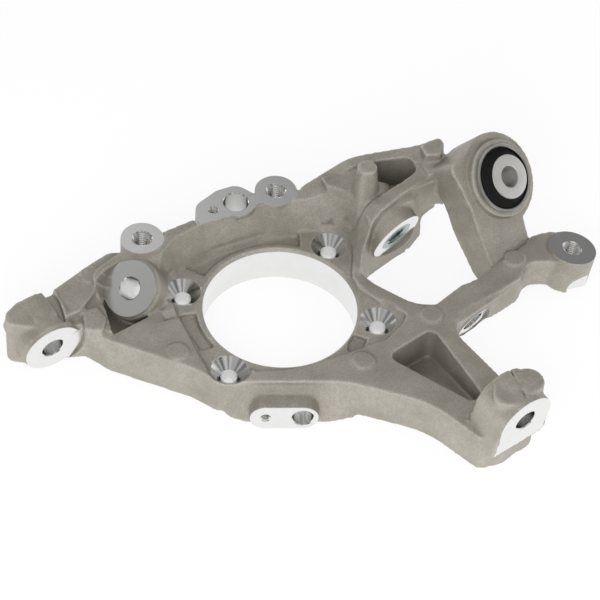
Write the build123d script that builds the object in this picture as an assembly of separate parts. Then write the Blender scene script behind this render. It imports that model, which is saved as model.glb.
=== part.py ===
# Steering knuckle: one aluminium casting with machined faces and bores, a pressed-in
# rubber bush with outer and inner sleeves, and a steel threaded insert in the clevis.
# Millimetres. The origin is the centre of the hub bore on its outboard face, +Z is
# the hub axis towards the car, X runs along the long side of the hub bolt pattern.
import os
from math import cos, radians, sin

from build123d import *

os.makedirs("parts", exist_ok=True)

# Hub bore, hub face and the four hub bolts
BORE_D = 96.0
HUB_DEPTH = 26.0
FACE_RING_W = 9.0
FACE_RING_H = 1.5
BORE_CHAMFER = 1.0
BOLT_SPACING_X = 101.0
BOLT_SPACING_Y = 69.0
BOLT_HOLE_D = 10.5
BOLT_CONE_D = 22.5
BOLT_CONE_DEPTH = 7.0
BOLT_SEAT_D = 21.0
CONE_RISE = 6.0

# Heights of the cast surfaces above the hub face
WEB_TOP = 30.0
RECESS_DEPTH = 3.5
RIM_TOP = 46.0
REAR_TOP = 64.0
LEFT_TOP = 38.0
POCKET_FLOOR = 37.0
BOWL_DRAFT = 24.0
RIB_Y = 48.0

# Front wall, its wheel sensor lug and the deep pocket beside the lower arm
FRONT_R = 64.0
FRONT_ANGLE = -113.0
SENSOR_BORE_D = 12.6
SENSOR_THREAD_D = 5.0
SENSOR_PITCH = 22.5
SENSOR_LUG_R = 9.7
SENSOR_REACH = 13.0
SENSOR_Z = 11.0
SENSOR_ROOT_DRAFT = 20.0
THREAD_DEPTH = 14.0
DEEP_FLOOR = 7.0
DEEP_SLOPE = 12.0

# Left arm, its end boss and the round tilted boss
LEFT_AT = Vector(-139.6, 27.9, 20.0)
LEFT_AXIS = Vector(0.10, -0.985, -0.12).normalized()
LEFT_FACE_D = 36.8
LEFT_HOLE_D = 14.0
LEFT_LENGTH = 29.0
GROOVE_DEPTH = 5.0
DISC_AT = Vector(-84.0, 40.0, 38.0)
DISC_AXIS = Vector(-0.60, -0.23, 0.765).normalized()
DISC_D = 35.6
DISC_HOLE_D = 13.6
DISC_T = 26.0
DISC_HOLE_L = 60.0
SIDE_RECESS_FLOOR = 17.0
RIDGE_Y = 40.0

# Clevis: a thick boss with a steel threaded insert, and the lug that faces it
CLEVIS_AT = Vector(111.4, -48.4, 13.0)
CLEVIS_AXIS = Vector(0.285, -0.92, -0.27).normalized()
CLEVIS_SPAN = 74.0
CLEVIS_LUG_D = 25.0
CLEVIS_LUG_T = 14.0
CLEVIS_HOLE_D = 15.2
CLEVIS_BOSS_D = 37.0
CLEVIS_BOSS_T = 36.0
CLEVIS_BACK_Y = 46.5
CLEVIS_WALL_Y = 23.0
INSERT_OD = 22.4
INSERT_LENGTH = 14.0
INSERT_LEAD = 2.0
INSERT_LEAD_D = 16.6
CLEVIS_THREAD_D = 12.5

# Bush and the inclined arm that carries it
BUSH_FOOT = Vector(159.3, 17.9, 59.2)
BUSH_AXIS = Vector(0.297, -0.659, 0.69).normalized()
BUSH_BOSS_D = 61.0
BUSH_ARM_T = 24.0
BUSH_DRAFT = 9.0
BUSH_FOOT_T = 18.0
WEB_FACE_Y = 30.0
WEB_T = 22.0
COLLAR_D = 50.0
COLLAR_H = 5.0
BUSH_OD = 44.0
BUSH_SLEEVE_T = 2.2
BUSH_PROUD = 7.0
BUSH_BACK = 4.0
RUBBER_T = 4.2
INNER_BORE_D = 14.2
INNER_PROUD = 3.7

# Lower lug, side lug and the rear lugs
LOWER_AT = Vector(87.0, -153.0, 44.5)
LOWER_AXIS = Vector(0.181, -0.98, -0.087).normalized()
LOWER_D = 37.0
LOWER_DROP = 24.0
LOWER_HOLE_D = 14.0
LOWER_T = 26.0
LOWER_HOLE_L = 56.0
LOWER_PAD_D = 19.5
LOWER_PAD_TOP = 63.0
SIDE_AT = Vector(190.7, -30.3, 30.0)
SIDE_AXIS = Vector(0.176, 0.029, 0.984).normalized()
SIDE_D = 31.6
SIDE_THREAD_D = 10.2
SIDE_DEPTH = 25.0
SIDE_ARM_BOTTOM = 8.0
CALIPER_A = Vector(-62.6, 70.6, 44.0)
CALIPER_B = Vector(32.0, 76.0, 44.0)
CALIPER_THREAD_D = 10.6
CALIPER_LUG_D = 27.0
CALIPER_LUG_T = 24.0
REAR_BORE_AT = Vector(4.0, 76.0, 45.0)
REAR_BORE_D = 15.4
REAR_THREAD_AT = Vector(-12.0, 75.0, 45.0)
REAR_THREAD_D = 5.0
SPOTFACE_D = 28.0
SMALL_SPOTFACE_D = 24.0

# Small cast marks and the post in the rear pocket
PAD_D = 13.0
PAD_H = 0.8
POST_AT = Vector(78.5, 44.0, 77.5)
POST_D = 12.0
POST_L = 30.0
POST_DRAFT = 7.0

# How far a cutter starts above its face, and how far a drill runs past its wall
CUT_RISE = 20.0
FAR_RISE = 30.0
RUN_OUT = 8.0


def outline(points):
    """A closed face through (x, y, corner radius) points."""
    corners = [(p[0], p[1]) for p in points]
    radii = [p[2] for p in points]
    return make_face(FilletPolyline(*corners, radius=radii, close=True))


def slab(points, z0, z1, taper=0.0):
    """An outline extruded from height z0 to z1, with draft where it is given."""
    return extrude(Pos(0, 0, z0) * outline(points), z1 - z0, taper=taper)


def drum(at, axis, diameter, length):
    """A cylinder whose face centre is at a point, reaching back against its axis."""
    return extrude(Plane(at, z_dir=axis) * Circle(diameter / 2), -length)


def drill(at, axis, diameter, depth, before=1.0):
    """A hole cut from a little before a face to a depth behind it."""
    return drum(at + axis * before, axis, diameter, depth + before)


UP = Vector(0, 0, 1)
front_dir = Vector(cos(radians(FRONT_ANGLE)), sin(radians(FRONT_ANGLE)), 0)
front_side = Vector(-front_dir.Y, front_dir.X, 0)
bore_r = BORE_D / 2
recess_z = HUB_DEPTH - RECESS_DEPTH
clevis_boss_at = CLEVIS_AT - CLEVIS_AXIS * CLEVIS_SPAN
bush_u = Vector(-BUSH_AXIS.Y, BUSH_AXIS.X, 0).normalized()
bush_plane = Plane(BUSH_FOOT, x_dir=bush_u, z_dir=BUSH_AXIS)
bush_face = BUSH_FOOT + BUSH_AXIS * BUSH_PROUD
bush_length = BUSH_ARM_T + BUSH_PROUD + BUSH_BACK
rubber_od = BUSH_OD - 2 * BUSH_SLEEVE_T
inner_od = rubber_od - 2 * RUBBER_T
sensor_at = front_dir * (FRONT_R + SENSOR_REACH) + UP * SENSOR_Z
bolt_x = BOLT_SPACING_X / 2
bolt_y = BOLT_SPACING_Y / 2
ALL_UP = REAR_TOP + 60


def front_point(along, out=0.0, radius=0.0):
    """A point by its distance along the front wall's line and out of it."""
    p = front_dir * (FRONT_R + out) + front_side * along
    return (p.X, p.Y, radius)


def beside(at, dx, dy, radius=0.0):
    """A corner of an outline, placed from the feature that it serves."""
    return (at.X + dx, at.Y + dy, radius)


def bolt_points():
    """The four hub bolt centres."""
    return [(sx * bolt_x, sy * bolt_y) for sx in (-1, 1) for sy in (-1, 1)]


def web_plate():
    """The flat body of the casting that ties the hub to its arms."""
    return slab(
        [
            beside(LEFT_AT, 21.6, 0.0, 0),
            beside(LEFT_AT, 30.6, -16.0, 10),
            (-71, -28, 40),
            front_point(-40, 0, 12),
            front_point(37, 0, 60),
            beside(LOWER_AT, -39, 45, 60),
            beside(LOWER_AT, -28, 18, 8),
            beside(LOWER_AT, -23.5, 7, 6),
            beside(LOWER_AT, 14, 16, 4),
            beside(LOWER_AT, 10, 47, 10),
            beside(LOWER_AT, 2, 87, 12),
            beside(CLEVIS_AT, -13, 0, 0),
            beside(CLEVIS_AT, 2, 5, 0),
            beside(CLEVIS_AT, -2, 14, 8),
            (90, -40, 16),
            (76, -33, 22),
            (61, -9, 30),
            (57, 3, 0),
            (72, 24, 0),
            (66, 68, 0),
            (-30, 70, 30),
            (-78, 66, 30),
            (-112, 60, 10),
            beside(LEFT_AT, 10, 22, 0),
        ],
        FACE_RING_H,
        WEB_TOP,
    )


def rear_block():
    """The tall rear wall and its right-hand corner, with a rim that rises to the right."""
    block = slab(
        [
            (-100, 20, 0),
            (-60, 28, 0),
            (56, 2, 0),
            (62, 11, 0),
            (73, 20, 0),
            (96, 28, 30),
            (118, 34, 6),
            (126, 35, 2),
            (134, 50, 4),
            (132, 59, 6),
            (118, 62, 20),
            (84, 72, 40),
            (40, 71, 60),
            (-30, 71.5, 60),
            (-78, 66, 20),
            (-104, 58, 10),
        ],
        FACE_RING_H,
        ALL_UP,
    )
    rim = [
        (-120, -1, 0),
        (160, -1, 0),
        (160, REAR_TOP + 4, 0),
        (128, REAR_TOP + 1, 12),
        (104, REAR_TOP - 2, 30),
        (76, REAR_TOP - 6, 20),
        (46, RIM_TOP, 20),
        (-60, RIM_TOP - 0.2, 20),
        (-120, LEFT_TOP + 2, 0),
    ]
    rib = [
        (40, WEB_TOP, 0),
        (56, WEB_TOP, 5),
        (62, WEB_TOP + 10, 5),
        (67, WEB_TOP + 17, 5),
        (72, REAR_TOP - 9.5, 5),
        (81, REAR_TOP - 4, 12),
        (118, REAR_TOP - 2, 0),
        (118, ALL_UP, 0),
        (40, ALL_UP, 0),
    ]
    arch = [(100, -10, 0), (152, -10, 0), (141, 17, 10), (130, 31.5, 9), (117, 27, 9)]
    profile = extrude(Plane.XZ * outline(rim), ALL_UP, both=True)
    above_rib = Pos(0, RIB_Y, 0) * extrude(Plane.XZ * outline(rib), RIB_Y)
    under_arch = extrude(Plane.XZ * outline(arch), ALL_UP, both=True)
    return (block & profile) - above_rib - under_arch


def left_arm():
    """The raised left arm, its end block with a groove across it, and the end boss."""
    arm = slab(
        [
            beside(LEFT_AT, -8, 26, 0),
            beside(LEFT_AT, 8, 6, 0),
            beside(LEFT_AT, 21, 7, 4),
            (-100, 50, 6),
            (-70, 48, 0),
            (-66, 66, 0),
            (-84, 73, 10),
            (-97, 69, 14),
            beside(LEFT_AT, 11, 29, 0),
        ],
        2,
        LEFT_TOP,
    )
    block = slab(
        [
            beside(LEFT_AT, -25, 14, 6),
            beside(LEFT_AT, -8, 3, 4),
            beside(LEFT_AT, 9, 4, 0),
            beside(LEFT_AT, 13, 10, 0),
            beside(LEFT_AT, 12, 27, 0),
            beside(LEFT_AT, -12, 28, 3),
            beside(LEFT_AT, -22, 22, 4),
        ],
        4,
        LEFT_TOP + 1,
    )
    boss = drum(LEFT_AT, LEFT_AXIS, LEFT_FACE_D, LEFT_LENGTH)
    body = drum(LEFT_AT - LEFT_AXIS * 2, LEFT_AXIS, LEFT_FACE_D + 2, LEFT_LENGTH - 2)
    root = slab(
        [
            beside(LEFT_AT, 8, 4, 0),
            beside(LEFT_AT, 22, 0, 4),
            beside(LEFT_AT, 34, -12, 0),
            beside(LEFT_AT, 40, 20, 0),
            beside(LEFT_AT, 8, 26, 0),
        ],
        2,
        LEFT_TOP - 6,
    )
    groove = slab(
        [
            beside(LEFT_AT, 3.5, 0, 0),
            beside(LEFT_AT, 8.0, 0, 0),
            beside(LEFT_AT, 11.0, 34, 0),
            beside(LEFT_AT, 5.5, 34, 0),
        ],
        LEFT_TOP - GROOVE_DEPTH,
        LEFT_TOP + GROOVE_DEPTH,
    )
    return (arm + block + root - groove) + body + boss


def side_arm():
    """The arm from the junction to the side lug, with the clevis lug under it."""
    arm = slab(
        [
            (88, -39, 0),
            beside(CLEVIS_AT, -13, -2.5, 0),
            beside(CLEVIS_AT, 3, 0.5, 20),
            beside(CLEVIS_AT, 20, 3.5, 10),
            beside(SIDE_AT, -43, -10, 8),
            beside(SIDE_AT, -32, 1, 12),
            beside(SIDE_AT, -10, -9, 0),
            beside(SIDE_AT, -6, 8, 0),
            beside(SIDE_AT, -20, 17, 8),
            beside(SIDE_AT, -48, 8, 8),
            (124, -30, 20),
            (110, -31, 8),
        ],
        SIDE_ARM_BOTTOM,
        WEB_TOP,
    )
    lug = drum(SIDE_AT, SIDE_AXIS, SIDE_D, SIDE_DEPTH)
    clevis = drum(CLEVIS_AT, CLEVIS_AXIS, CLEVIS_LUG_D, CLEVIS_LUG_T)
    plane = Plane(CLEVIS_AT, x_dir=(-CLEVIS_AXIS.Y, CLEVIS_AXIS.X, 0), z_dir=CLEVIS_AXIS)
    r = CLEVIS_LUG_D / 2
    cheek = outline(
        [
            (-r - 7, r + 3.5, 0),
            (-r - 5, r - 3, 6),
            (-r + 3, -r + 1, 8),
            (2, -r - 7, 8),
            (r + 3, -r - 6, 8),
            (r + 8, -7, 10),
            (r + 18, 0, 0),
            (r + 14, r + 2, 0),
        ]
    )
    clevis = clevis + extrude(plane * cheek, -CLEVIS_LUG_T)
    band = Pos(CLEVIS_AT.X, CLEVIS_AT.Y, WEB_TOP / 2) * Box(90, 90, WEB_TOP - 1)
    return arm + lug + (clevis & band)


def clevis_boss():
    """The thick boss on the window's left side that takes the threaded insert."""
    boss = drum(clevis_boss_at, CLEVIS_AXIS, CLEVIS_BOSS_D, INSERT_LENGTH + 8)
    at = clevis_boss_at
    wall = slab(
        [
            (67, CLEVIS_WALL_Y - 6, 0),
            beside(at, -12, CLEVIS_WALL_Y - at.Y - 0.5, 0),
            beside(at, 14, CLEVIS_WALL_Y - at.Y + 1, 0),
            (116, 32, 0),
            (114, 40, 0),
            (68, 28, 0),
        ],
        12,
        REAR_TOP - 10,
        3,
    )
    return boss + wall


def shoulder():
    """The boss's back end, which rises as a round shoulder inside the rear pocket."""
    barrel = drum(clevis_boss_at, CLEVIS_AXIS, CLEVIS_BOSS_D, CLEVIS_BOSS_T)
    corners = [(40, 0, 0), (140, 0, 0), (140, CLEVIS_BACK_Y, 0), (40, CLEVIS_BACK_Y, 0)]
    barrel = barrel & slab(corners, POCKET_FLOOR - 4, ALL_UP)
    behind = slab(
        [
            (58, CLEVIS_BACK_Y - 4, 0),
            beside(POST_AT, 8, CLEVIS_BACK_Y - POST_AT.Y - 4, 0),
            beside(POST_AT, 8, 20, 0),
            (58, 66, 0),
        ],
        POCKET_FLOOR - 4,
        POST_AT.Z - 22,
    )
    return barrel + behind


def bush_arm():
    """The inclined plate between the side arm and the rear rim, round the bush."""
    r = BUSH_BOSS_D / 2
    plate = outline(
        [
            (0, 0.89 * r, 0),
            (-0.95 * r, 0.89 * r, 6),
            (-0.97 * r, 0, 20),
            (-34, -18, 30),
            (-39, -44, 4),
            (-38, -57, 0),
            (2, -57, 0),
            (-1, -44, 4),
            (4, -30, 6),
            (10, 0, 0),
        ]
    )
    arm = extrude(bush_plane * plate, -BUSH_ARM_T)
    side = Plane(BUSH_FOOT, x_dir=-BUSH_AXIS, z_dir=bush_u)
    foot = outline(
        [
            (-1, 60, 0),
            (BUSH_ARM_T + 1, 60, 0),
            (BUSH_ARM_T + 1, -8, 30),
            (BUSH_FOOT_T, -60, 0),
            (-1, -60, 0),
        ]
    )
    arm = arm & extrude(side * foot, 60, both=True)
    boss = extrude(bush_plane * Circle(r), -BUSH_ARM_T, taper=BUSH_DRAFT)
    collar = drum(BUSH_FOOT + BUSH_AXIS * COLLAR_H, BUSH_AXIS, COLLAR_D, COLLAR_H + 1)
    return arm + boss + collar


def bush_web():
    """The web from the rear rim to the bush arm, arched over the window."""
    face = outline(
        [
            (98, 38, 0),
            (112, 34, 8),
            (124, 41, 9),
            (134, 30, 6),
            (142, 36, 0),
            (138, REAR_TOP, 6),
            (124, REAR_TOP - 2, 12),
            (98, REAR_TOP - 5, 0),
        ]
    )
    return extrude(Plane.XZ.offset(-WEB_FACE_Y) * face, -WEB_T)


def lower_lug():
    """The tall lug at the end of the lower arm, on a foot that carries on the front wall."""
    r = LOWER_D / 2
    plane = Plane(LOWER_AT, x_dir=(-LOWER_AXIS.Y, LOWER_AXIS.X, 0), z_dir=LOWER_AXIS)
    cheek = outline(
        [
            (-r, 0, 0),
            (-r - 2.5, -LOWER_DROP - 1, 2),
            (r, -LOWER_DROP + 2, 5),
            (r, 0, 0),
        ]
    )
    lug = drum(LOWER_AT, LOWER_AXIS, LOWER_D, LOWER_T) + extrude(plane * cheek, -LOWER_T)
    foot = slab(
        [
            beside(LOWER_AT, -28, 20, 6),
            beside(LOWER_AT, -24, 7, 8),
            beside(LOWER_AT, -8, 5, 0),
            beside(LOWER_AT, 3, 9, 0),
            beside(LOWER_AT, 16, 11, 10),
            beside(LOWER_AT, 20, 22, 6),
            beside(LOWER_AT, 10, 45, 0),
            beside(LOWER_AT, -20, 38, 0),
        ],
        FACE_RING_H,
        WEB_TOP,
    )
    lug = lug + foot
    for dx, dy, lift in ((-8, 10, 0), (6.5, 13.5, 0.8)):
        top = Vector(LOWER_AT.X + dx, LOWER_AT.Y + dy, LOWER_PAD_TOP + lift)
        lug = lug + drum(top, UP, LOWER_PAD_D, 18)
    return lug


def sensor_lug():
    """The slot-shaped lug on the front wall and the thick root behind it."""
    plane = Plane(sensor_at, x_dir=front_side, z_dir=front_dir)
    face = plane * SlotOverall(SENSOR_PITCH + 2 * SENSOR_LUG_R, 2 * SENSOR_LUG_R)
    lug = extrude(face, -(SENSOR_REACH + 12))
    root = slab(
        [
            front_point(-40, -20, 0),
            front_point(-36, 4, 12),
            front_point(-22, 9, 20),
            front_point(28, 9, 20),
            front_point(52, 3, 20),
            front_point(56, -20, 0),
        ],
        FACE_RING_H,
        WEB_TOP - 1,
        SENSOR_ROOT_DRAFT,
    )
    return lug + root


def rear_lugs():
    """The two caliper lugs and the lug with the large bore, on the rear wall."""
    a = drum(CALIPER_A, UP, CALIPER_LUG_D, CALIPER_LUG_T)
    b = drum(CALIPER_B, UP, CALIPER_LUG_D, CALIPER_LUG_T)
    c = slab(
        [
            beside(REAR_THREAD_AT, -14, -8, 0),
            beside(REAR_THREAD_AT, -9, 8.5, 8),
            beside(REAR_BORE_AT, -6, 14.5, 14),
            beside(REAR_BORE_AT, 7, 14, 8),
            beside(REAR_BORE_AT, 15, 0, 0),
            beside(REAR_BORE_AT, 15, -14, 0),
        ],
        FACE_RING_H,
        REAR_BORE_AT.Z,
    )
    return a + b + c


def hub_ring():
    """The machined hub face: a ring round the bore and a seat at each bolt."""
    ring = Circle(bore_r + FACE_RING_W)
    seats = [Pos(x, y) * Circle(BOLT_SEAT_D / 2) for x, y in bolt_points()]
    return extrude(ring + seats, HUB_DEPTH / 2)


def hub_bowl():
    """The sunken floor round the bore, up the rear wall and into the rear pocket."""
    pad_floor = slab(
        [
            (-64, -25, 10),
            (-61.5, -38, 6),
            (-51, -41.5, 5),
            (-39, -38.5, 2),
            (-38, -44.5, 2),
            (-20, -51, 8),
            (10, -53, 40),
            (30, -53, 20),
            (48, -52, 10),
            (62, -45, 8),
            (68, -39, 3),
            (55, -21, 60),
            (49, 0, 20),
            (60, 20, 12),
            (64, 40, 10),
            (20, 60, 40),
            (-20, 60, 40),
            (-57, 44, 6),
            (-62, 22, 3),
        ],
        HUB_DEPTH,
        ALL_UP,
    )
    bowl = slab(
        [
            (-57, 26, 0),
            (-55, 41, 6),
            (-42, 51.5, 20),
            (-20, 57, 60),
            (22, 57.5, 50),
            (50, 47, 20),
            (58, 36, 8),
            (54, 20, 0),
            (0, 20, 0),
        ],
        recess_z,
        ALL_UP,
        -BOWL_DRAFT,
    )
    ring_top = Pos(0, 0, recess_z) * extrude(Circle(bore_r + 5), RECESS_DEPTH)
    pads = [
        [(-70, 20, 0), (-50, 17, 0), (-30, 38, 2), (-46, 60, 0), (-70, 60, 0)],
        [(33, 40, 2), (41, 60, 0), (70, 60, 0), (70, 10, 0), (40, 10, 0)],
        [(-30, 30, 0), (30, 30, 0), (30, 10, 0), (-30, 10, 0)],
    ]
    keep = ring_top
    for p in pads:
        keep = keep + slab(p, recess_z, HUB_DEPTH)
    return pad_floor + (bowl - keep)


def left_recess():
    """The shallow recess between the left bolt pads, concentric with the bore."""
    corners = [(-62.5, 18, 3), (-46, 15, 3), (-44, -14, 3), (-60, -14, 3)]
    field = slab(corners, recess_z, HUB_DEPTH + 2)
    return field - Cylinder(bore_r + 4.5, ALL_UP)


def small_recess():
    """The small recess beside the front right bolt pad."""
    corners = [(22, -49, 1), (30, -36, 2), (38, -45, 1), (30, -52, 1)]
    field = slab(corners, recess_z, HUB_DEPTH + 2)
    return field - Cylinder(bore_r + 1.5, ALL_UP)


def deep_pocket():
    """The three-cornered pocket between hub, junction and lower lug, with a sloping floor."""
    r = 5
    field = slab(
        [
            beside(LOWER_AT, -46, 88, r),
            beside(LOWER_AT, -10, 97, r),
            beside(LOWER_AT, -7, 40, r),
            beside(LOWER_AT, -14, 34, r),
        ],
        0,
        WEB_TOP + 2,
    )
    y_top = LOWER_AT.Y + 93
    tilt = radians(DEEP_SLOPE)
    floor = Plane((0, y_top, DEEP_FLOOR), x_dir=(1, 0, 0), z_dir=(0, sin(tilt), cos(tilt)))
    above = extrude(floor * Rectangle(400, 400), ALL_UP)
    return field & above


def rear_pocket():
    """The deep pocket between the rear wall and the right rib."""
    return slab(
        [
            (58, 36, 4),
            (65, 29, 6),
            (79, 33.5, 12),
            (100, 37.5, 20),
            (115, 43, 5),
            (114, 54, 6),
            (98, 60, 20),
            (80, 64, 20),
            (62, 62, 8),
        ],
        POCKET_FLOOR,
        ALL_UP,
    )


def side_recess():
    """The hollow between the tilted boss, the left arm and the flat left web."""
    return slab(
        [
            (-107, 15.5, 3),
            (-68, 23.5, 2),
            (-66, 27, 0),
            (-67, 50, 3),
            (-74, 54, 0),
            (-100, 46, 0),
            (-112, 27, 4),
        ],
        SIDE_RECESS_FLOOR,
        ALL_UP,
    )


def ridge_fall():
    """The space over the thin ridge between the hub bowl and the side hollow."""
    profile = [
        (RIDGE_Y - 26, RIM_TOP - 19, 0),
        (RIDGE_Y, RIM_TOP - 8, 0),
        (RIDGE_Y + 13, RIM_TOP, 0),
        (RIDGE_Y + 13, ALL_UP, 0),
        (RIDGE_Y - 26, ALL_UP, 0),
    ]
    return extrude(Plane.YZ.offset(-72) * outline(profile), 14)


def disc_boss():
    """The tilted round boss, as cast a little wider than its machined face."""
    face = drum(DISC_AT, DISC_AXIS, DISC_D, DISC_T)
    cast = drum(DISC_AT - DISC_AXIS * 3, DISC_AXIS, DISC_D + 2.5, DISC_T)
    corners = [(-140, -40, 0), (0, -40, 0), (0, 100, 0), (-140, 100, 0)]
    above_face = slab(corners, FACE_RING_H + 0.5, ALL_UP)
    return (face + cast) & above_face


def post():
    """The round post in the rear pocket."""
    top = Plane(POST_AT, z_dir=-UP) * Circle(POST_D / 2)
    return extrude(top, POST_L, taper=-POST_DRAFT)


def rim_block():
    """The small square lug on the rear rim."""
    return slab(
        [(119, 44, 2), (130, 40, 3), (138, 50, 3), (137, 57, 3), (121, 56, 2)],
        REAR_TOP - 10,
        REAR_TOP + 7,
        4,
    )


def small_lug():
    """The small stepped lug beside the end boss."""
    return slab(
        [(-117, 37, 0), (-107, 37, 0), (-105, 26, 3), (-111, 17, 3), (-121, 22, 3)],
        LEFT_TOP - 14,
        LEFT_TOP - 3,
    )


def cast_pads():
    """The low round marks that the ejector pins leave."""
    spots = [(-102, 59, LEFT_TOP), (-75, -12.4, WEB_TOP), (25.5, -63, WEB_TOP),
             (81, -46, WEB_TOP), (152, -24.4, WEB_TOP)]
    pads = [Pos(x, y, z) * Cylinder(PAD_D / 2, PAD_H * 2) for x, y, z in spots]
    return pads


def casting():
    """The whole casting before it is machined."""
    body = web_plate() + rear_block()
    body = body - side_recess() - ridge_fall()
    body = body + left_arm() + small_lug() + side_arm() + bush_arm() + bush_web() + lower_lug()
    body = body + sensor_lug() + rear_lugs() + rim_block()
    body = body - rear_pocket() + shoulder()
    body = body - hub_bowl() - deep_pocket() - left_recess() - small_recess()
    body = body + clevis_boss() + disc_boss() + post() + hub_ring()
    for pad in cast_pads():
        body = body + pad
    return body


def hub_cuts():
    """The hub bore with its lip and the four bolt holes with their cones."""
    lip = 2 * BORE_CHAMFER
    cuts = [Cylinder(bore_r, 4 * HUB_DEPTH)]
    cuts.append(Pos(0, 0, HUB_DEPTH) * Cone(bore_r, bore_r + lip, lip))
    hole_r = BOLT_HOLE_D / 2
    cone_r = BOLT_CONE_D / 2
    slope = (cone_r - hole_r) / BOLT_CONE_DEPTH
    tall = BOLT_CONE_DEPTH + CONE_RISE
    middle = HUB_DEPTH - BOLT_CONE_DEPTH / 2 + CONE_RISE / 2
    for x, y in bolt_points():
        cuts.append(Pos(x, y, 0) * Cylinder(hole_r, 4 * HUB_DEPTH))
        cuts.append(Pos(x, y, middle) * Cone(hole_r, cone_r + slope * CONE_RISE, tall))
    return cuts


def arm_cuts():
    """The faces and holes of the left arm, the tilted boss, the clevis, the bush and the lugs."""
    clevis_hole_l = CLEVIS_LUG_T + RUN_OUT
    return [
        drill(LEFT_AT, LEFT_AXIS, LEFT_HOLE_D, LEFT_LENGTH + RUN_OUT),
        drill(DISC_AT, DISC_AXIS, DISC_HOLE_D, DISC_HOLE_L),
        drum(DISC_AT + DISC_AXIS * FAR_RISE, DISC_AXIS, DISC_D + 1.5, FAR_RISE),
        drum(CLEVIS_AT + CLEVIS_AXIS * CUT_RISE, CLEVIS_AXIS, CLEVIS_LUG_D, CUT_RISE),
        drill(CLEVIS_AT, CLEVIS_AXIS, CLEVIS_HOLE_D, clevis_hole_l, CUT_RISE),
        drill(clevis_boss_at, CLEVIS_AXIS, INSERT_OD, INSERT_LENGTH),
        drum(clevis_boss_at + CLEVIS_AXIS * FAR_RISE, CLEVIS_AXIS, CLEVIS_BOSS_D, FAR_RISE),
        drill(BUSH_FOOT, BUSH_AXIS, BUSH_OD, 2 * FAR_RISE, FAR_RISE),
        drill(LOWER_AT, LOWER_AXIS, LOWER_HOLE_D, LOWER_HOLE_L),
        drill(SIDE_AT, SIDE_AXIS, SIDE_THREAD_D, SIDE_DEPTH + RUN_OUT, RUN_OUT),
    ]


def rear_cuts():
    """The flat tops and the holes of the three lugs on the rear wall."""
    right_face = [
        beside(CALIPER_B, -12, -16),
        beside(CALIPER_B, -12, 14),
        beside(CALIPER_B, 15, 14),
        beside(CALIPER_B, 15, -8, 6),
    ]
    middle_face = [
        beside(REAR_BORE_AT, -31, -12),
        beside(REAR_BORE_AT, -31, 19),
        beside(REAR_BORE_AT, 16, 19),
        beside(REAR_BORE_AT, 16, -16),
    ]
    return [
        drill(CALIPER_A, UP, CALIPER_THREAD_D, ALL_UP, CUT_RISE),
        drill(CALIPER_B, UP, CALIPER_THREAD_D, ALL_UP, CUT_RISE),
        drum(CALIPER_A + UP * CUT_RISE, UP, SPOTFACE_D, CUT_RISE),
        drum(CALIPER_B + UP * CUT_RISE, UP, SPOTFACE_D, CUT_RISE),
        slab(right_face, CALIPER_B.Z, ALL_UP),
        slab(middle_face, REAR_BORE_AT.Z, ALL_UP),
        drill(REAR_BORE_AT, UP, REAR_BORE_D, ALL_UP, CUT_RISE),
        drum(REAR_BORE_AT + UP * CUT_RISE, UP, SPOTFACE_D, CUT_RISE),
        drum(REAR_THREAD_AT + UP * CUT_RISE, UP, SMALL_SPOTFACE_D, CUT_RISE),
        drill(REAR_THREAD_AT, UP, REAR_THREAD_D, THREAD_DEPTH),
    ]


def sensor_cuts():
    """The wheel sensor's bore, which opens into the hub bore, and its small thread."""
    half = front_side * (SENSOR_PITCH / 2)
    depth = SENSOR_REACH + FRONT_R - bore_r + RUN_OUT
    return [
        drill(sensor_at + half, front_dir, SENSOR_BORE_D, depth),
        drill(sensor_at - half, front_dir, SENSOR_THREAD_D, THREAD_DEPTH),
    ]


def machining():
    """Every cut made after casting: the hub bore, bolt holes, faces and tapped holes."""
    return hub_cuts() + arm_cuts() + rear_cuts() + sensor_cuts()


def bush_outer_sleeve():
    """The steel shell of the bush, pressed into the arm."""
    tube = drum(bush_face, BUSH_AXIS, BUSH_OD, bush_length)
    return tube - drill(bush_face, BUSH_AXIS, rubber_od, bush_length + 1)


def bush_rubber():
    """The rubber between the two sleeves."""
    face = bush_face - BUSH_AXIS
    ring = drum(face, BUSH_AXIS, rubber_od, bush_length - 2)
    return ring - drill(face, BUSH_AXIS, inner_od, bush_length)


def bush_inner_sleeve():
    """The thick inner sleeve that the link bolt passes through."""
    face = bush_face + BUSH_AXIS * INNER_PROUD
    length = bush_length + 2 * INNER_PROUD
    tube = drum(face, BUSH_AXIS, inner_od, length)
    return tube - drill(face, BUSH_AXIS, INNER_BORE_D, length + 1)


def threaded_insert():
    """The steel threaded insert in the clevis boss, with a wider lead at its mouth."""
    tube = drum(clevis_boss_at, CLEVIS_AXIS, INSERT_OD, INSERT_LENGTH)
    tube = tube - drill(clevis_boss_at, CLEVIS_AXIS, CLEVIS_THREAD_D, INSERT_LENGTH + 1)
    return tube - drill(clevis_boss_at, CLEVIS_AXIS, INSERT_LEAD_D, INSERT_LEAD)


def knuckle_casting():
    """The finished casting: cast shape less everything that is machined away."""
    body = casting()
    for cut in machining():
        body = body - cut
    return body


for make in (knuckle_casting, bush_outer_sleeve, bush_rubber, bush_inner_sleeve, threaded_insert):
    solid = make()
    export_step(solid, "parts/" + make.__name__ + ".step")
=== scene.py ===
"""Looks for the steering knuckle: soft cast skin, crisp machined faces and bores, threads, bush."""

from math import cos, pi, sin

import bmesh
import bpy
import numpy as np
from mathutils import Matrix, Vector


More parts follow.
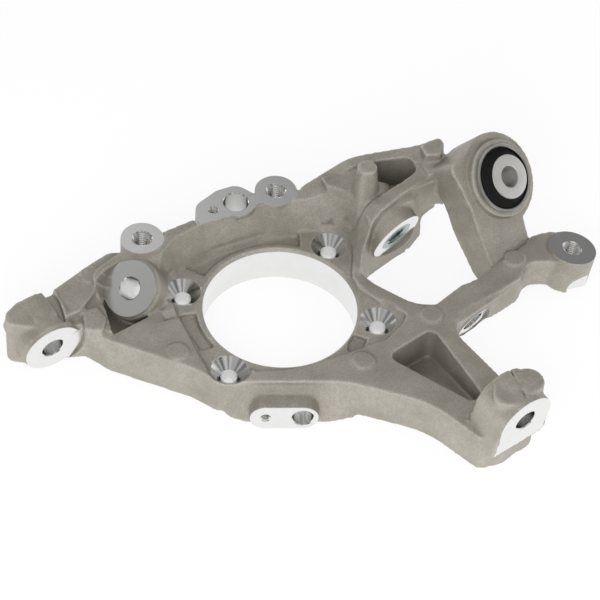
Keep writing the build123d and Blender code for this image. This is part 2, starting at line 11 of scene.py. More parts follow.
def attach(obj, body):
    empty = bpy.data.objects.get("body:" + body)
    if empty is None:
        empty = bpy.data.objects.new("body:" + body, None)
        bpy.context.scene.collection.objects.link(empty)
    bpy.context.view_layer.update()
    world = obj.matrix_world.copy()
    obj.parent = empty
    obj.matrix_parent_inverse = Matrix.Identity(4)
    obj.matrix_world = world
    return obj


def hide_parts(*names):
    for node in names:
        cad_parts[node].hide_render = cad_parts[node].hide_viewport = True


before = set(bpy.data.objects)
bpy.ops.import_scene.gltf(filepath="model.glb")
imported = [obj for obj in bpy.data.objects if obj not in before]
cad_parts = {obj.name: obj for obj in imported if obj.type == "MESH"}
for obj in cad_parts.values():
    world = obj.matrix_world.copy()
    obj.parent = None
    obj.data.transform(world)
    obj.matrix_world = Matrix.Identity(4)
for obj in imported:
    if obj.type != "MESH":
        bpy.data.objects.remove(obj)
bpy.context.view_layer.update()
MM = 0.001
UP = Vector((0, 0, 1))

# Places from the part's source, in millimetres
HUB_R = 48.0
HUB_TOP = 26.0
BOLT_X = 50.5
BOLT_Y = 34.5
LEFT_AT = Vector((-139.6, 27.9, 20.0))
LEFT_AXIS = Vector((0.10, -0.985, -0.12)).normalized()
DISC_AT = Vector((-84.0, 40.0, 38.0))
DISC_AXIS = Vector((-0.60, -0.23, 0.765)).normalized()
CLEVIS_AT = Vector((111.4, -48.4, 13.0))
CLEVIS_AXIS = Vector((0.285, -0.92, -0.27)).normalized()
INSERT_AT = CLEVIS_AT - CLEVIS_AXIS * 74.0
BUSH_AT = Vector((159.3, 17.9, 59.2))
BUSH_AXIS = Vector((0.297, -0.659, 0.69)).normalized()
LOWER_AT = Vector((87.0, -153.0, 44.5))
LOWER_AXIS = Vector((0.181, -0.98, -0.087)).normalized()
SIDE_AT = Vector((190.7, -30.3, 30.0))
SIDE_AXIS = Vector((0.176, 0.029, 0.984)).normalized()
CALIPER_A = Vector((-62.6, 70.6, 44.0))
CALIPER_B = Vector((32.0, 76.0, 44.0))
REAR_BORE_AT = Vector((4.0, 76.0, 45.0))
REAR_THREAD_AT = Vector((-12.0, 75.0, 45.0))
FRONT_DIR = Vector((-0.39073, -0.92050, 0.0)).normalized()
FRONT_SIDE = Vector((-FRONT_DIR.y, FRONT_DIR.x, 0))
SENSOR_AT = FRONT_DIR * 77.0 + UP * 11.0
SENSOR_HALF = 11.25
SENSOR_BORE_AT = SENSOR_AT + FRONT_SIDE * SENSOR_HALF
SENSOR_THREAD_AT = SENSOR_AT - FRONT_SIDE * SENSOR_HALF
FLAT_AXIS = Vector((-0.05, -0.99, -0.12)).normalized()
PIN_MARKS = [(-102, 59, 38), (-75, -12.4, 30), (25.5, -63, 30), (81, -46, 30), (152, -24.4, 30)]

# Outlines of cast forms that only the picture's view shows well
END_BLOCK = [(-152, 52.4), (-136.5, 54.8), (-132.6, 36.7), (-147.9, 34.4), (-149.3, 42.5)]
END_GROOVE = [(-136.5, 62), (-132.4, 31), (-129.8, 31), (-127.7, 45.4), (-128, 62)]
SIDE_SHOULDER = [(166, -14), (171, -11), (180, -11.2), (186, -12.2), (190, -16), (184, -26), (166, -22)]
REAR_LUG_TOP = [(-25.3, 67.4), (-23, 76), (-19.5, 82), (-4, 88.8), (4, 88), (4, 66)]
REAR_FACE = [(-27, 64.3), (-27, 95), (19.5, 95), (19.5, 60.8)]
BOLT_CORNER = [(-73.5, 23), (-69, 21), (-63, 26), (-64, 31), (-70, 29.5)]
LUG_LINE = [(85.4, -152), (86.9, -152), (88.2, -126), (86.7, -126)]

# How the cast skin is made
VOXEL = 0.8
SMOOTHING = 3
SKIN_TRIANGLES = 175000

# How plugs and cutters stand about a machined face, in millimetres
STOCK = 1.8
PLUG_WALL = 1.2
PLUG_ROOT = 3
CUTTER_RISE = 9

# What counts as a machined face: distance from its plane, and how squarely it faces along the axis
ON_PLANE = 0.04
FACING = 0.98
HUB_FACE_R = 66

# Steps along one turn of a thread
THREAD_STEPS = 5

# Colours of the cast metal, with a painted highlight for convex edges and painted shade for concave corners
CAST_DARK = (0.335, 0.31, 0.26)
CAST_LIGHT = (0.47, 0.45, 0.40)
CAST_SPECK = (0.20, 0.18, 0.15)
PAINTED_EDGE_HIGHLIGHT = (0.62, 0.60, 0.55)
PAINTED_CORNER_SHADE = (0.17, 0.155, 0.125)

# Level of the plain light from all round
DAYLIGHT = 0.70

# The floor: half its width in metres, and how much of its look is even white
FLOOR_HALF = 6.0
FLOOR_GLOW = 0.88

# The photograph's viewpoint, in metres
LENS = 154.79
CAMERA_AT = Vector((-0.507417, -0.939931, 1.211347))
CAMERA_RIGHT = Vector((0.90023394, -0.43216862, 0.05300133))
CAMERA_UP = Vector((0.28903234, 0.68419036, 0.66958484))
CAMERA_BACK = Vector((-0.32563656, -0.5874639, 0.74084209))


def local_frame(at, axis):
    """A matrix in metres whose Z runs along an axis from a point in millimetres."""
    w = Vector(axis).normalized()
    side = UP if abs(w.z) < 0.9 else Vector((1, 0, 0))
    u = side.cross(w).normalized()
    m = Matrix((u, w.cross(u), w)).transposed().to_4x4()
    m.translation = Vector(at) * MM
    return m


def link(name, mesh):
    """A new object in the scene for a mesh."""
    obj = bpy.data.objects.new(name, mesh)
    bpy.context.scene.collection.objects.link(obj)
    return obj


def rings_mesh(name, rings, closed, matrix):
    """A mesh skinned over rings of points, in millimetres about the matrix's Z axis."""
    bm = bmesh.new()
    made = [[bm.verts.new(Vector(p) * MM) for p in ring] for ring in rings]
    pairs = list(zip(made, made[1:]))
    if closed:
        pairs.append((made[-1], made[0]))
    for a, b in pairs:
        count = max(len(a), len(b))
        for i in range(count):
            j = (i + 1) % count
            corners = [a[i % len(a)], a[j % len(a)], b[j % len(b)], b[i % len(b)]]
            bm.faces.new(list(dict.fromkeys(corners)))
    bmesh.ops.recalc_face_normals(bm, faces=bm.faces)
    mesh = bpy.data.meshes.new(name)
    bm.to_mesh(mesh)
    bm.free()
    mesh.transform(matrix)
    return mesh


def prism(name, points, low, high):
    """An upright body over a plain outline, between two heights in millimetres."""
    x = sum(p[0] for p in points) / len(points)
    y = sum(p[1] for p in points) / len(points)
    foot = [(px, py, low) for px, py in points]
    head = [(px, py, high) for px, py in points]
    return rings_mesh(name, [[(x, y, low)], foot, head, [(x, y, high)]], False, Matrix())


def circle(radius, along, around):
    """One ring of points, or the single point on the axis where the radius is nought."""
    if radius == 0:
        return [(0, 0, along)]
    steps = [2 * pi * i / around for i in range(around)]
    return [(radius * cos(t), radius * sin(t), along) for t in steps]


def turned(name, profile, at, axis, around=72, closed=False):
    """A turned body from (radius, distance along the axis) points in millimetres."""
    rings = [circle(r, w, around) for r, w in profile]
    return rings_mesh(name, rings, closed, local_frame(at, axis))


def threaded_tube(name, at, axis, minor, major, outer, start, length, pitch, around=40):
    """A tube with a real helical thread inside, its mouth at start along the axis."""
    rows = int(length / pitch * THREAD_STEPS)
    rings = [circle(outer, start, around), circle(major, start, around)]
    for row in range(1, rows):
        w = start - length * row / rows
        ring = []
        for i in range(around):
            turn = (w / pitch - i / around) % 1.0
            flank = min(1.0, max(0.0, abs(turn - 0.5) * 3.2 - 0.3))
            r = minor + (major - minor) * flank
            t = 2 * pi * i / around
            ring.append((r * cos(t), r * sin(t), w))
        rings.append(ring)
    rings += [circle(major, start - length, around), circle(outer, start - length, around)]
    return rings_mesh(name, rings, True, local_frame(at, axis))


class Feature:
    """A machined face and hole on one axis: what is filled before the skin is made, then cut."""

    def __init__(self, name, at, axis, hole, depth, fill, face=0.0, stock=0.0, lip=0.6, blind=False):
        self.name = name
        self.matrix = local_frame(at, axis)
        self.at = at
        self.axis = axis
        self.hole = hole
        self.depth = depth
        self.fill = fill
        self.face = face
        self.stock = stock
        self.lip = lip
        self.blind = blind

    def plug(self):
        """Metal that fills the hole, with stock left proud on a machined face."""
        wide = self.hole + PLUG_WALL
        if self.stock:
            profile = [(0, STOCK), (self.stock, STOCK), (self.stock, -PLUG_ROOT), (wide, -PLUG_ROOT)]
        else:
            profile = [(0, -0.2), (wide, -0.2)]
        return turned("plug", profile + [(wide, -self.fill), (0, -self.fill)], self.at, self.axis)

    def cutter(self):
        """The tool's path: the face, the lip and the hole in one turned body."""
        if not self.hole:
            profile = [(0, CUTTER_RISE), (self.face, CUTTER_RISE), (self.face, 0), (0, 0)]
            return turned("cutter", profile, self.at, self.axis)
        if self.face:
            profile = [(0, CUTTER_RISE), (self.face, CUTTER_RISE), (self.face, 0)]
        else:
            profile = [(0, CUTTER_RISE), (self.hole + self.lip, CUTTER_RISE)]
        profile += [(self.hole + self.lip, 0), (self.hole, -self.lip), (self.hole, -self.depth)]
        end = self.depth + (self.hole * 0.58 if self.blind else 0)
        return turned("cutter", profile + [(0, -end)], self.at, self.axis, around=96)


def features():
    """Every machined face and hole of the casting."""
    made = [
        Feature("left", LEFT_AT, LEFT_AXIS, 7.0, 38, 28, 21.0, 18.2),
        Feature("disc", DISC_AT, DISC_AXIS, 6.8, 62, 40, 18.55, 17.7),
        Feature("clevis_lug", CLEVIS_AT, CLEVIS_AXIS, 7.6, 24, 13, 12.5, 12.2),
        Feature("insert_seat", INSERT_AT, CLEVIS_AXIS, 11.2, 14, 15, 18.5, 18.2, 0.3),
        Feature("insert_end", INSERT_AT - CLEVIS_AXIS * 13, CLEVIS_AXIS, 6.25, 9, 9, 0, 0, 0.1, True),
        Feature("lower", LOWER_AT, LOWER_AXIS, 7.0, 56, 25, 32.0, 18.3),
        Feature("side", SIDE_AT, SIDE_AXIS, 5.9, 34, 24, 18.0, 15.6),
        Feature("caliper_a", CALIPER_A, UP, 6.0, 60, 41.5, 14.0, 13.3),
        Feature("caliper_b", CALIPER_B, UP, 6.0, 60, 41.5, 14.0, 13.3),
        Feature("rear_bore", REAR_BORE_AT, UP, 7.7, 60, 42.5, 14.0, 12.5),
        Feature("rear_thread", REAR_THREAD_AT, UP, 3.0, 14, 13, 12.0, 9.0, 0.4, True),
        Feature("sensor_bore", SENSOR_BORE_AT, FRONT_DIR, 6.3, 40, 27, 12, 9.4),
        Feature("sensor_thread", SENSOR_THREAD_AT, FRONT_DIR, 3.0, 14, 13, 12, 9.4, 0.4, True),
    ]
    for i, (x, y) in enumerate(bolt_places()):
        made.append(Feature("bolt_%d" % i, Vector((x, y, HUB_TOP)), UP, 5.25, 40, 25, 0, 0, 6.0))
    return made


def bolt_places():
    """The four hub bolt centres."""
    return [(sx * BOLT_X, sy * BOLT_Y) for sx in (-1, 1) for sy in (-1, 1)]


def side_flat():
    """The milled flat on the front of the side lug, arched at its top."""
    made = []
    for height in (11.0, 6.0, 1.0):
        at = Vector((SIDE_AT.x, SIDE_AT.y, height)) + FLAT_AXIS * 12.9
        made.append(Feature("side_flat", at, FLAT_AXIS, 0.0, 0, 0, 9.0, 0, 0.0))
    return made


def join(target, meshes):
    """Adds loose meshes to an object's own mesh."""
    bm = bmesh.new()
    bm.from_mesh(target.data)
    bmesh.ops.remove_doubles(bm, verts=bm.verts, dist=1e-6)
    for mesh in meshes:
        bm.from_mesh(mesh)
        bpy.data.meshes.remove(mesh)
    bm.to_mesh(target.data)
    bm.free()


def apply_all(obj):
    """Writes an object's modifiers into its mesh."""
    depsgraph = bpy.context.evaluated_depsgraph_get()
    result = bpy.data.meshes.new_from_object(obj.evaluated_get(depsgraph), depsgraph=depsgraph)
    old = obj.data
    obj.modifiers.clear()
    obj.data = result
    bpy.data.meshes.remove(old)


def one_skin(obj):
    """Melts overlapping solids into one closed skin."""
    remesh = obj.modifiers.new("skin", "REMESH")
    remesh.mode = "VOXEL"
    remesh.voxel_size = VOXEL * MM
    remesh.adaptivity = 0.0
    apply_all(obj)


def soft_skin(obj):
    """Gives the skin the round edges of a casting."""
    one_skin(obj)
    smooth = obj.modifiers.new("soften", "SMOOTH")
    smooth.factor = 0.5
    smooth.iterations = SMOOTHING
    apply_all(obj)
    count = sum(len(p.vertices) - 2 for p in obj.data.polygons)
    thin = obj.modifiers.new("thin", "DECIMATE")
    thin.ratio = min(1.0, SKIN_TRIANGLES / count)
    apply_all(obj)


def cut(obj, mesh):
    """Cuts one closed mesh out of an object."""
    tool = link("tool", mesh)
    step = obj.modifiers.new("cut", "BOOLEAN")
    step.operation = "DIFFERENCE"
    step.solver = "MANIFOLD"
    step.object = tool
    apply_all(obj)
    bpy.data.objects.remove(tool)
    bpy.data.meshes.remove(mesh)


def smooth_by_angle(obj, degrees):
    """Smooth shading that keeps edges sharper than an angle."""
    bm = bmesh.new()
    bm.from_mesh(obj.data)
    limit = degrees * pi / 180
    for face in bm.faces:
        face.smooth = True
    for edge in bm.edges:
        edge.smooth = len(edge.link_faces) == 2 and edge.calc_face_angle(pi) < limit
    bm.to_mesh(obj.data)
    bm.free()


def mark_machined(obj, parts):
    """Gives machined faces their own material and each face its lathe coordinates."""
    mesh = obj.data
    count = len(mesh.polygons)
    centres = np.empty(count * 3)
    normals = np.empty(count * 3)
    totals = np.empty(count, int)
    mesh.polygons.foreach_get("center", centres)
    mesh.polygons.foreach_get("normal", normals)
    mesh.polygons.foreach_get("loop_total", totals)
    centres = centres.reshape(-1, 3)
    normals = normals.reshape(-1, 3)
    points = np.empty(len(mesh.vertices) * 3)
    mesh.vertices.foreach_get("co", points)
    points = points.reshape(-1, 3)
    corners = np.empty(len(mesh.loops), int)
    mesh.loops.foreach_get("vertex_index", corners)
    owner = np.repeat(np.arange(count), totals)
    lathe = np.zeros((len(corners), 3))
    machined = np.zeros(count, bool)
    for part in parts:
        inverse = np.array(part.matrix.inverted())
        at = centres @ inverse[:3, :3].T + inverse[:3, 3]
        turn = normals @ inverse[:3, :3].T
        radius = np.hypot(at[:, 0], at[:, 1]) / MM
        along = at[:, 2] / MM
        lip = part.hole + part.lip
        wall = (np.abs(radius - part.hole) < 0.08) & (along < 0.1) & (along > -part.depth - 0.1)
        cone = (along < 0.1) & (along > -part.lip - 0.1) & (np.abs(radius - lip - along) < 0.12)
        flat = (np.abs(along) < ON_PLANE) & (radius < part.face) & (turn[:, 2] > FACING)
        end = (along < -part.depth + 0.1) & (along > -part.depth - part.hole) & (radius < part.hole)
        hit = wall | cone | flat | (end & part.blind)
        if part.name.startswith("hub"):
            hit |= (np.abs(along) < ON_PLANE) & (radius < HUB_FACE_R) & (turn[:, 2] > FACING)
        mine = hit[owner]
        here = points[corners[mine]] @ inverse[:3, :3].T + inverse[:3, 3]
        lathe[mine] = here
        machined |= hit
    mesh.polygons.foreach_set("material_index", machined.astype(np.int32))
    layer = mesh.attributes.new("lathe", "FLOAT_VECTOR", "CORNER")
    layer.data.foreach_set("vector", lathe.astype(np.float32).ravel())
    mesh.update()


class Nodes:
    """Short calls for building one material's nodes."""

    def __init__(self, name):
        self.material = bpy.data.materials.new(name)
        self.material.use_nodes = True
        self.tree = self.material.node_tree
        self.shader = self.tree.nodes["Principled BSDF"]

    def add(self, kind, links=(), **values):
        """A node with its properties, socket values and links set."""
        node = self.tree.nodes.new(kind)
        for key, value in values.items():
            setattr(node, key, value)
        for socket, source in links:
            if hasattr(source, "is_output"):
                self.tree.links.new(source, node.inputs[socket])
            else:
                node.inputs[socket].default_value = source
        return node

    def math(self, operation, a, b=0.0):
        """A Math node's result."""
        return self.add("ShaderNodeMath", [(0, a), (1, b)], operation=operation).outputs[0]

    def noise(self, vector, scale, detail=3.0, rough=0.55):
        """A noise value of a given scale per metre."""
        links = [("Vector", vector), ("Scale", scale), ("Detail", detail), ("Roughness", rough)]
        return self.add("ShaderNodeTexNoise", links).outputs["Fac"]

    def ramp(self, value, low, high, out_low, out_high):
        """A value mapped from one range onto another, held at its ends."""
        links = [(0, value), (1, low), (2, high), (3, out_low), (4, out_high)]
        return self.add("ShaderNodeMapRange", links).outputs[0]

    def blend(self, factor, a, b):
        """A colour between two colours."""
        first = a if hasattr(a, "is_output") else (*a, 1)
        links = [("Factor", factor), ("A", first), ("B", (*b, 1))]
        node = self.add("ShaderNodeMix", data_type="RGBA")
        for socket in node.inputs:
            for key, source in links:
                if socket.name == key and socket.enabled and socket.type in ("RGBA", "VALUE"):
                    if (key == "Factor") == (socket.type == "VALUE"):
                        if hasattr(source, "is_output"):
                            self.tree.links.new(source, socket)
                        else:
                            socket.default_value = source
        return [s for s in node.outputs if s.enabled][0]

    def bump(self, height, strength, distance, under=None):
        """A bump from a height."""
        links = [("Height", height), ("Strength", strength), ("Distance", distance)]
        if under is not None:
            links.append(("Normal", under))
        return self.add("ShaderNodeBump", links).outputs[0]

    def set(self, name, source):
        """Sets or links one of the shader's own sockets."""
        if hasattr(source, "is_output"):
            self.tree.links.new(source, self.shader.inputs[name])
        else:
            self.shader.inputs[name].default_value = source

    def place(self):
        """The point on the object, which stays with it in every view."""
        return self.add("ShaderNodeTexCoord").outputs["Object"]


def cast_material():
    """Blasted cast aluminium: warm grey, grainy, a little patchy, with a painted highlight on convex edges
    and painted shade in concave corners.
    """
    n = Nodes("cast_aluminium")
    at = n.place()
    patches = n.noise(at, 42.0, 5.0, 0.65)
    specks = n.noise(at, 900.0, 3.0, 0.65)
    grain = n.noise(at, 1900.0, 2.0, 0.7)
    pale = n.blend(n.ramp(patches, 0.3, 0.7, 0.0, 1.0), CAST_DARK, CAST_LIGHT)
    bend = n.add("ShaderNodeNewGeometry").outputs["Pointiness"]
    # Painted highlight: convex edges, found by pointiness, are lightened towards a pale edge colour
    pale = n.blend(n.ramp(bend, 0.505, 0.55, 0.0, 0.55), pale, PAINTED_EDGE_HIGHLIGHT)
    # Painted shade: concave corners, found by pointiness, are darkened towards a dark corner colour
    pale = n.blend(n.ramp(bend, 0.495, 0.44, 0.0, 0.55), pale, PAINTED_CORNER_SHADE)
    n.set("Base Color", n.blend(n.ramp(specks, 0.36, 0.62, 0.42, 0.0), pale, CAST_SPECK))
    n.set("Metallic", 0.70)
    n.set("Roughness", n.ramp(specks, 0.3, 0.7, 0.38, 0.56))
    soft = n.bump(patches, 0.25, 0.0008)
    coarse = n.bump(specks, 0.35, 0.00016, soft)
    n.set("Normal", n.bump(grain, 0.4, 0.00006, coarse))
    return n.material


def lathe_distance(n):
    """Distance out and along from the turned feature's own centre."""
    place = n.add("ShaderNodeAttribute", attribute_name="lathe").outputs["Vector"]
    parts = n.add("ShaderNodeSeparateXYZ", [(0, place)])
    out = n.math("POWER", parts.outputs[0], 2.0)
    out = n.math("ADD", out, n.math("POWER", parts.outputs[1], 2.0))
    return n.math("ADD", n.math("SQRT", out), parts.outputs[2])


def machined_material(name="machined_aluminium", colour=(0.86, 0.86, 0.85), low=0.17, high=0.22):
    """Bright turned metal with fine rings left by the tool."""
    n = Nodes(name)
    distance = lathe_distance(n)
    links = [("W", distance), ("Scale", 2400.0), ("Detail", 1.0)]
    streaks = n.add("ShaderNodeTexNoise", links, noise_dimensions="1D").outputs["Fac"]
    haze = n.noise(n.place(), 160.0, 3.0)
    n.set("Base Color", n.blend(haze, tuple(c * 0.93 for c in colour), colour))
    n.set("Metallic", 1.0)
    n.set("Roughness", n.ramp(streaks, 0.3, 0.7, low, high))
    n.set("Normal", n.bump(streaks, 0.05, 0.00002))
    return n.material


def rubber_material():
    """Black bush rubber."""
    n = Nodes("bush_rubber_black")
    at = n.place()
    grain = n.noise(at, 1500.0, 3.0)
    n.set("Base Color", n.blend(n.noise(at, 220.0), (0.004, 0.004, 0.004), (0.009, 0.009, 0.009)))
    n.set("Roughness", n.ramp(grain, 0.3, 0.7, 0.55, 0.75))
    n.set("Specular IOR Level", 0.12)
    n.set("Normal", n.bump(grain, 0.3, 0.00006))
    return n.material


def steel_material(name, dark, light, low, high, metal=1.0):
    """Plated or sintered steel with a fine grain."""
    n = Nodes(name)
    at = n.place()
    grain = n.noise(at, 1300.0, 3.0, 0.65)
    n.set("Base Color", n.blend(n.noise(at, 300.0, 3.0), dark, light))
    n.set("Metallic", metal)
    n.set("Roughness", n.ramp(grain, 0.3, 0.7, low, high))
    n.set("Normal", n.bump(grain, 0.25, 0.00004))
    return n.material


def piece(name, mesh, material, node=None, angle=35):
    """A finished piece of the object that rides on its one body."""
    obj = link(name, mesh)
    obj.data.materials.clear()
    obj.data.materials.append(material)
    smooth_by_angle(obj, angle)
    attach(obj, "root")
    if node:
        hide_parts(node)
    return obj


def plugs(parts):
    """All the metal that is added to the solid before its skin is made."""
    fills = [part.plug() for part in parts]
    hub = [(0, 0.3), (HUB_R + PLUG_WALL, 0.3), (HUB_R + PLUG_WALL, HUB_TOP - 0.2), (0, HUB_TOP - 0.2)]
    fills.append(turned("plug", hub, (0, 0, 0), UP, 128))
    ring = [(47, 2), (56.8, 2), (56.8, -STOCK), (47, -STOCK)]
    fills.append(turned("plug", ring, (0, 0, 0), UP, 128, True))
    for x, y in bolt_places():
        seat = [(0, 6), (10.3, 6), (10.3, -STOCK), (0, -STOCK)]
        fills.append(turned("plug", seat, (x, y, 0), UP))
        top = [(0, 20), (11.7, 20), (11.7, HUB_TOP), (0, HUB_TOP)]
        fills.append(turned("plug", top, (x, y, 0), UP))
    bush = [(0, 4.8), (23.2, 4.8), (23.2, -22), (0, -22)]
    fills.append(turned("plug", bush, BUSH_AT, BUSH_AXIS))
    for step in (-0.5, 0.0, 0.5):
        at = SENSOR_AT + FRONT_SIDE * SENSOR_HALF * step
        pad = [(0, STOCK), (9.4, STOCK), (9.4, -PLUG_ROOT), (0, -PLUG_ROOT)]
        fills.append(turned("plug", pad, at, FRONT_DIR))
    for x, y, z in PIN_MARKS:
        fills.append(turned("plug", [(0, 1.3), (6.6, 1.3), (6.8, -1), (0, -1)], (x, y, z), UP))
    fills.append(prism("plug", END_BLOCK, 30, 40.4))
    fills.append(prism("plug", SIDE_SHOULDER, 8.5, 29.8))
    fills.append(prism("plug", BOLT_CORNER, 17, 29))
    fills.append(prism("plug", REAR_LUG_TOP, 40, REAR_BORE_AT.z + STOCK))
    return fills


def machine(body, parts):
    """Cuts the hub bore, the bush seat, the sensor pad and every feature into the skin."""
    bore = [(0, -12), (80, -12), (80, 0), (HUB_R + 0.8, 0), (HUB_R, 0.8), (HUB_R, HUB_TOP - 2)]
    bore += [(HUB_R + 2, HUB_TOP), (HUB_R + 3, HUB_TOP + 1), (HUB_R + 3, HUB_TOP + 9), (0, HUB_TOP + 9)]
    cut(body, turned("cutter", bore, (0, 0, 0), UP, 160))
    seat = [(0, 40), (22, 40), (22, -60), (0, -60)]
    cut(body, turned("cutter", seat, BUSH_AT, BUSH_AXIS, 128))
    cut(body, turned("cutter", [(0, CUTTER_RISE), (24, CUTTER_RISE), (24, 0), (0, 0)], SENSOR_AT, FRONT_DIR))
    for part in parts:
        cut(body, part.cutter())
    cut(body, prism("cutter", REAR_FACE, REAR_BORE_AT.z, REAR_BORE_AT.z + 12))


def casting():
    """The casting: soft skin first, then every machined face and hole cut into it."""
    body = link("casting_body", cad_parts["knuckle_casting"].data.copy())
    parts = features()
    join(body, plugs(parts))
    one_skin(body)
    cut(body, prism("cutter", END_GROOVE, 34.5, 50))
    cut(body, prism("cutter", LUG_LINE, 62.2, 75))
    soft_skin(body)
    marks = parts + side_flat()
    machine(body, marks)
    marks.append(Feature("rear_face", Vector((-5, 76, REAR_BORE_AT.z)), UP, 0.0, 0, 0, 24.0, 0, 0.0))
    marks.append(Feature("hub_bottom", Vector((0, 0, 0)), -UP, HUB_R, HUB_TOP, 0, 80, 0, 0.8))
    marks.append(Feature("bush_seat", BUSH_AT, BUSH_AXIS, 22.0, 60, 0))
    marks.append(Feature("sensor_face", SENSOR_AT, FRONT_DIR, 0.0, 1, 0, 24, 0, 0.0))
    body.data.materials.clear()
    body.data.materials.append(cast_material())
    body.data.materials.append(machined_material())
    mark_machined(body, marks)
    smooth_by_angle(body, 32)
    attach(body, "root")
    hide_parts("knuckle_casting")
    return body


def threads():
    """Thread liners in the tapped holes."""
    metal = steel_material("thread_aluminium", (0.78, 0.77, 0.74), (0.88, 0.87, 0.84), 0.20, 0.32)
    places = [
        ("caliper_thread_a", CALIPER_A, UP, 5.1, 6.0, 0.7, 41.0, 1.75),
        ("caliper_thread_b", CALIPER_B, UP, 5.1, 6.0, 0.7, 41.0, 1.75),
        ("side_lug_thread", SIDE_AT, SIDE_AXIS, 5.1, 5.9, 0.7, 23.5, 1.5),
        ("rear_small_thread", REAR_THREAD_AT, UP, 2.5, 3.0, 0.5, 13.0, 1.0),
        ("front_small_thread", SENSOR_THREAD_AT, FRONT_DIR, 2.5, 3.0, 0.5, 13.0, 1.0),
    ]
    for name, at, axis, minor, major, start, length, pitch in places:
        mesh = threaded_tube(name, at, axis, minor, major - 0.06, major + 0.03, -start, length, pitch)
        piece(name, mesh, metal)


def bush():
    """The bush's two sleeves and the rubber between them, and the clevis insert."""
    outer = [(22.0, 6.5), (21.6, 7.0), (20.3, 7.0), (19.8, 6.6), (19.8, -27.6), (20.3, -28), (21.6, -28)]
    outer.append((22.0, -27.5))
    shell = steel_material("bush_shell_steel", (0.46, 0.45, 0.42), (0.60, 0.59, 0.56), 0.30, 0.45)
    piece("bush_shell", turned("bush_shell", outer, BUSH_AT, BUSH_AXIS, 128, True), shell,
          "bush_outer_sleeve")
    rubber = [(19.8, 5.6), (19.0, 5.8), (17.6, 7.0), (16.2, 8.8), (14.9, 10.6), (14.2, 11.3)]
    rubber += [(r, -21.0 - w) for r, w in reversed(rubber)]
    piece("bush_rubber_ring", turned("bush_rubber_ring", rubber, BUSH_AT, BUSH_AXIS, 128, True),
          rubber_material(), "bush_rubber")
    inner = [(14.2, 11.2), (13.9, 11.9), (13.3, 12.1), (7.4, 12.1), (6.8, 11.5)]
    inner += [(r, -21.0 - w) for r, w in reversed(inner)]
    inner += [(15.6, -19.0), (15.6, -2.0)]
    core = steel_material("inner_sleeve_metal", (0.60, 0.59, 0.57), (0.72, 0.71, 0.69), 0.34, 0.50, 0.85)
    piece("bush_core", turned("bush_core", inner, BUSH_AT, BUSH_AXIS, 128, True), core,
          "bush_inner_sleeve")
    plated = steel_material("insert_plated_steel", (0.30, 0.40, 0.39), (0.46, 0.55, 0.53), 0.22, 0.34)
    tube = threaded_tube("clevis_insert", INSERT_AT, CLEVIS_AXIS, 6.25, 7.1, 11.2, 0.0, 14.0, 2.0, 64)
    piece("clevis_insert", tube, plated, "threaded_insert")


def floor():
    """A white floor that keeps a soft shadow."""
    mesh = bpy.data.meshes.new("floor")
    signs = [(-1, -1), (1, -1), (1, 1), (-1, 1)]
    mesh.from_pydata([(x * FLOOR_HALF, y * FLOOR_HALF, 0) for x, y in signs], [], [(0, 1, 2, 3)])
    plane = link("floor", mesh)
    material = bpy.data.materials.new("floor_white")
    material.use_nodes = True
    tree = material.node_tree
    tree.nodes.clear()
    out = tree.nodes.new("ShaderNodeOutputMaterial")
    matt = tree.nodes.new("ShaderNodeBsdfDiffuse")
    matt.inputs["Color"].default_value = (0.82, 0.82, 0.82, 1)
    glow = tree.nodes.new("ShaderNodeEmission")
    glow.inputs["Color"].default_value = (1, 1, 1, 1)
    path = tree.nodes.new("ShaderNodeLightPath")
    seen = tree.nodes.new("ShaderNodeMath")
    seen.operation = "MAXIMUM"
    tree.links.new(path.outputs["Is Camera Ray"], seen.inputs[0])
    tree.links.new(path.outputs["Is Glossy Ray"], seen.inputs[1])
    also = tree.nodes.new("ShaderNodeMath")
    also.operation = "MAXIMUM"
    tree.links.new(seen.outputs[0], also.inputs[0])
    tree.links.new(path.outputs["Is Transmission Ray"], also.inputs[1])
    share = tree.nodes.new("ShaderNodeMath")
    share.operation = "MULTIPLY"
    share.inputs[1].default_value = FLOOR_GLOW
    tree.links.new(also.outputs[0], share.inputs[0])
    mix = tree.nodes.new("ShaderNodeMixShader")
    tree.links.new(share.outputs[0], mix.inputs[0])
    tree.links.new(matt.outputs[0], mix.inputs[1])
    tree.links.new(glow.outputs[0], mix.inputs[2])
    tree.links.new(mix.outputs[0], out.inputs["Surface"])
    plane.data.materials.append(material)


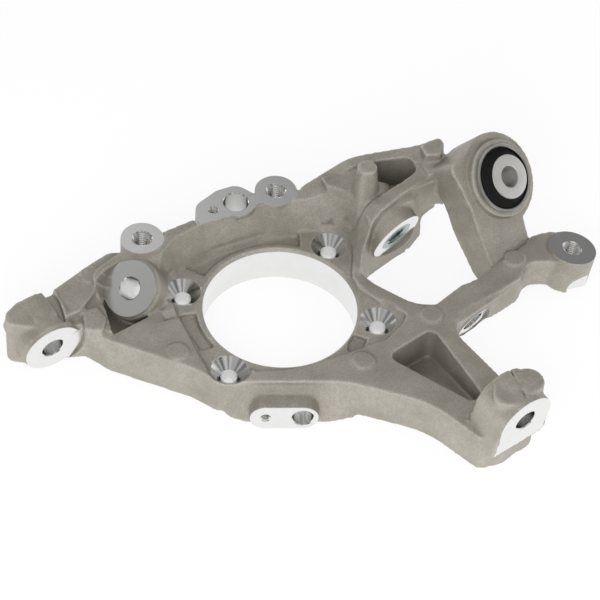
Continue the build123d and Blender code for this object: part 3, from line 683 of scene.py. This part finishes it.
def backdrop():
    """A world that is white to the camera, soft for daylight and uneven in reflections."""
    world = bpy.data.worlds.new("studio")
    bpy.context.scene.world = world
    world.use_nodes = True
    tree = world.node_tree
    back = tree.nodes["Background"]
    place = tree.nodes.new("ShaderNodeTexCoord")
    split = tree.nodes.new("ShaderNodeSeparateXYZ")
    tree.links.new(place.outputs["Generated"], split.inputs[0])

    def fade(source, low, high, out_low, out_high):
        """A smooth change of level between two heights or sides of the sky."""
        node = tree.nodes.new("ShaderNodeMapRange")
        node.interpolation_type = "SMOOTHSTEP"
        tree.links.new(source, node.inputs[0])
        for socket, value in zip(node.inputs[1:5], (low, high, out_low, out_high)):
            socket.default_value = value
        return node.outputs[0]

    def combine(operation, a, b):
        """Two levels put together."""
        node = tree.nodes.new("ShaderNodeMath")
        node.operation = operation
        for socket, source in zip(node.inputs, (a, b)):
            if hasattr(source, "is_output"):
                tree.links.new(source, socket)
            else:
                socket.default_value = source
        return node.outputs[0]

    sky = fade(split.outputs[2], 0.02, 0.45, 1.15, 0.78)
    sky = combine("MULTIPLY", sky, fade(split.outputs[0], -0.2, 0.7, 1.0, 0.64))
    sky = combine("MULTIPLY", sky, fade(split.outputs[1], -0.9, 0.1, 0.55, 1.0))
    sky = combine("MULTIPLY", sky, fade(split.outputs[0], -0.8, -0.3, 0.45, 1.0))
    panels = tree.nodes.new("ShaderNodeTexNoise")
    panels.inputs["Scale"].default_value = 2.6
    panels.inputs["Detail"].default_value = 0.0
    tree.links.new(place.outputs["Generated"], panels.inputs["Vector"])
    sky = combine("MULTIPLY", sky, fade(panels.outputs["Fac"], 0.42, 0.58, 0.40, 1.45))
    path = tree.nodes.new("ShaderNodeLightPath")
    shown = combine("MULTIPLY", sky, path.outputs["Is Glossy Ray"])
    soft = combine("MULTIPLY", combine("SUBTRACT", 1.0, path.outputs["Is Glossy Ray"]), DAYLIGHT)
    level = combine("MAXIMUM", combine("ADD", shown, soft), path.outputs["Is Camera Ray"])
    tree.links.new(level, back.inputs["Strength"])
    back.inputs["Color"].default_value = (1, 1, 1, 1)


def area_light(name, place, target, size, power):
    """A large soft lamp aimed at a point."""
    lamp = bpy.data.lights.new(name, "AREA")
    lamp.shape = "SQUARE"
    lamp.size = size
    lamp.energy = power
    obj = link(name, lamp)
    obj.location = place
    aim = Vector(target) - Vector(place)
    obj.rotation_euler = aim.to_track_quat("-Z", "Y").to_euler()
    obj.visible_glossy = False


def camera():
    """The photograph's viewpoint."""
    data = bpy.data.cameras.new("camera")
    data.sensor_width = 36.0
    data.lens = LENS
    data.clip_start = 0.05
    data.clip_end = 30.0
    obj = link("camera", data)
    m = Matrix((CAMERA_RIGHT, CAMERA_UP, CAMERA_BACK)).transposed().to_4x4()
    m.translation = CAMERA_AT
    obj.matrix_world = m
    bpy.context.scene.camera = obj


casting()
threads()
bush()
floor()
backdrop()
area_light("key", (-0.62, -0.85, 0.62), (-0.03, 0, 0), 0.8, 18.5)
area_light("fill", (1.2, -0.9, 0.9), (0, 0, 0), 1.0, 8)
camera()
bpy.context.scene.view_settings.view_transform = "Standard"
